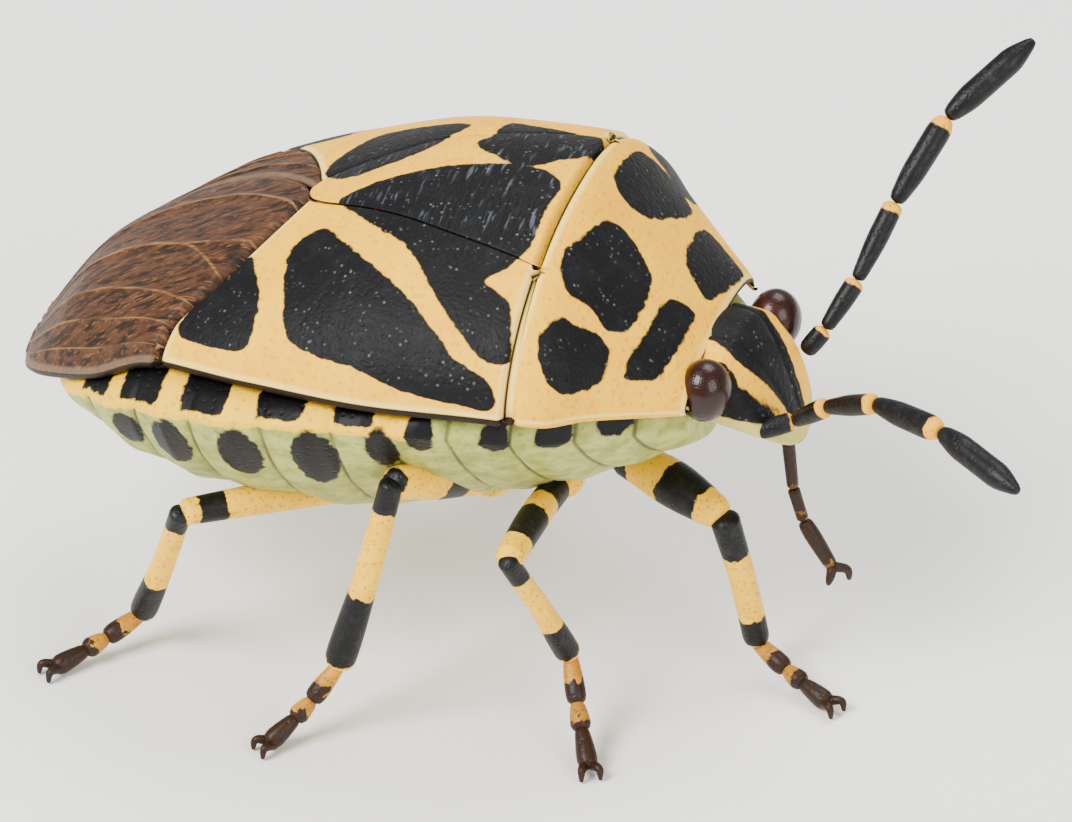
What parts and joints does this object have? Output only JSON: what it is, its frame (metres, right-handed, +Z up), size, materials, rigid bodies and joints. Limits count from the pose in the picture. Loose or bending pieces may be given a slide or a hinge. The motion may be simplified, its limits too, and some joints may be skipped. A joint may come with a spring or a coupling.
{
  "type": "shield bug",
  "caption": "Life-size still model of a yellow and black shield bug standing on six legs, with spread feelers and its beak hanging.",
  "frame": {"origin": "on the ground, under the middle of the box round the whole bug with its feelers", "axes": "+X to the head, +Y to the bug's left, +Z up"},
  "size_m": [0.0136, 0.0082, 0.0076],
  "materials": {
    "yellow_plate": "yellow horny plate with black spots, finely pitted, satin",
    "black_plate": "black horny plate, wrinkled and pitted, satin with a blue-grey sheen",
    "wing_membrane": "thin brown wing membrane with pale veins, satin",
    "green_underside": "olive green underside with black spots and a yellow edge, matt",
    "compound_eye": "dark red-brown faceted eye, glossy",
    "black_feeler": "black feeler segments with yellow joints, finely haired",
    "brown_beak": "dark brown beak segments, satin",
    "banded_leg": "yellow leg with black bands, satin",
    "brown_foot": "brown foot segments with curved claws, satin"
  },
  "bodies": {
    "root": {"abdomen": "green_underside", "beak_1": "brown_beak", "beak_2": "brown_beak", "beak_3": "brown_beak", "corium_left": "yellow_plate", "corium_right": "yellow_plate", "eye_left": "compound_eye", "eye_right": "compound_eye", "feeler_left_1": "black_feeler", "feeler_left_2": "black_feeler", "feeler_left_3": "black_feeler", "feeler_left_4": "black_feeler", "feeler_left_5": "black_feeler", "feeler_right_1": "black_feeler", "feeler_right_2": "black_feeler", "feeler_right_3": "black_feeler", "feeler_right_4": "black_feeler", "feeler_right_5": "black_feeler", "head": "black_plate", "left_fore_coxa": "banded_leg", "left_fore_femur": "banded_leg", "left_fore_tarsus": "brown_foot", "left_fore_tibia": "banded_leg", "left_hind_coxa": "banded_leg", "left_hind_femur": "banded_leg", "left_hind_tarsus": "brown_foot", "left_hind_tibia": "banded_leg", "left_middle_coxa": "banded_leg", "left_middle_femur": "banded_leg", "left_middle_tarsus": "brown_foot", "left_middle_tibia": "banded_leg", "membrane_left": "wing_membrane", "membrane_right": "wing_membrane", "pronotum": "yellow_plate", "right_fore_coxa": "banded_leg", "right_fore_femur": "banded_leg", "right_fore_tarsus": "brown_foot", "right_fore_tibia": "banded_leg", "right_hind_coxa": "banded_leg", "right_hind_femur": "banded_leg", "right_hind_tarsus": "brown_foot", "right_hind_tibia": "banded_leg", "right_middle_coxa": "banded_leg", "right_middle_femur": "banded_leg", "right_middle_tarsus": "brown_foot", "right_middle_tibia": "banded_leg", "scutellum": "black_plate", "thorax": "green_underside"}
  },
  "joints": []
}
